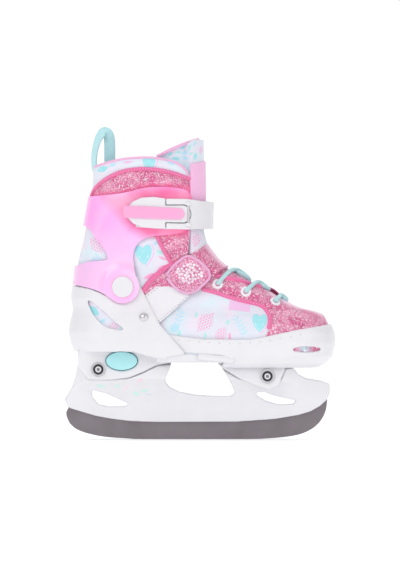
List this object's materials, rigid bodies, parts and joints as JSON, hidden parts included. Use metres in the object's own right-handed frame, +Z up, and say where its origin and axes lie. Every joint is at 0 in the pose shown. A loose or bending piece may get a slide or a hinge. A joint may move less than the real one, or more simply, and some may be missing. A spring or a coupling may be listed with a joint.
{
  "type": "ice skate",
  "caption": "Size-adjustable children's ice skate: steel runner in a moulded holder, sliding toe shell, hinged ankle cuff with lever buckle, padded printed boot",
  "frame": {"origin": "on the flat of the runner, at the middle of the skate's length and width", "axes": "+X to the toe, +Z up, -Y to the outer side of a right foot"},
  "size_m": [0.2462, 0.0886, 0.2818],
  "materials": {
    "black_plastic": "black nylon",
    "collar_fabric": "padded printed collar",
    "eyelet_plastic": "moulded eyelet",
    "gem_plastic": "faceted acrylic",
    "glitter_fabric": "glitter-coated fabric",
    "grey_nylon": "plain nylon",
    "grip_fabric": "hook tape",
    "lining_fabric": "brushed lining",
    "pink_fabric": "knitted trim",
    "pink_inlay": "moulded inlay",
    "pink_plastic": "translucent tinted plastic",
    "printed_fabric": "printed and glitter-coated upper fabric",
    "runner_steel": "ground satin steel",
    "strap_plastic": "flexible moulded strap",
    "teal_lace": "round braided lace",
    "teal_plastic": "moulded plastic button",
    "teal_webbing": "woven tape",
    "white_plastic": "moulded plastic, soft gloss",
    "zinc_steel": "bright zinc plate"
  },
  "bodies": {
    "root": {"black_washers": "black_plastic", "blade_holder": "white_plastic", "bolt_bushes": "zinc_steel", "button_spring": "zinc_steel", "gem_tab": "glitter_fabric", "heel_liner": "lining_fabric", "heel_shell": "white_plastic", "hook_patch": "grip_fabric", "insole": "lining_fabric", "instep_strap": "strap_plastic", "mounting_bolts": "zinc_steel", "mounting_nuts": "zinc_steel", "pivot_caps": "white_plastic", "pivot_posts": "zinc_steel", "pivot_washers": "grey_nylon", "runner_blade": "runner_steel", "sole_plate": "white_plastic", "steel_rings": "zinc_steel", "strap_gems": "gem_plastic", "strap_rivets": "zinc_steel"},
    "toe_part": {"toe_shell": "white_plastic", "size_rack": "grey_nylon", "rack_screws": "zinc_steel", "toe_upper": "printed_fabric", "eyelets": "eyelet_plastic", "lace": "teal_lace"},
    "cuff": {"cuff_shell": "pink_plastic", "collar_liner": "collar_fabric", "upper_tongue": "collar_fabric", "tongue_tab": "pink_fabric", "pull_loop": "teal_webbing", "buckle_base": "white_plastic", "base_rivets": "zinc_steel", "lever_pin": "zinc_steel", "ladder_strap": "strap_plastic", "anchor_rivet": "zinc_steel"},
    "lever": {"buckle_lever": "white_plastic", "lever_inlay": "pink_inlay"},
    "button": {"size_button": "teal_plastic", "latch_bar": "zinc_steel"}
  },
  "joints": [
    {"name": "toe_slide", "type": "slide", "parent": "root", "child": "toe_part", "axis": [1, 0, 0], "range_m": [0, 0.02]},
    {"name": "cuff_lean", "type": "hinge", "parent": "root", "child": "cuff", "pos_m": [-0.0699, 0, 0.1382], "axis": [0, 1, 0], "range_deg": [0, 7]},
    {"name": "lever_open", "type": "hinge", "parent": "cuff", "child": "lever", "pos_m": [-0.011, -0.0384, 0.203], "axis": [0, 0, 1], "range_deg": [0, 110]},
    {"name": "button_press", "type": "slide", "parent": "root", "child": "button", "axis": [0, 1, 0], "range_m": [0, 0.0026], "stiffness_N_per_m": 800, "deforming": ["button_spring"]}
  ]
}
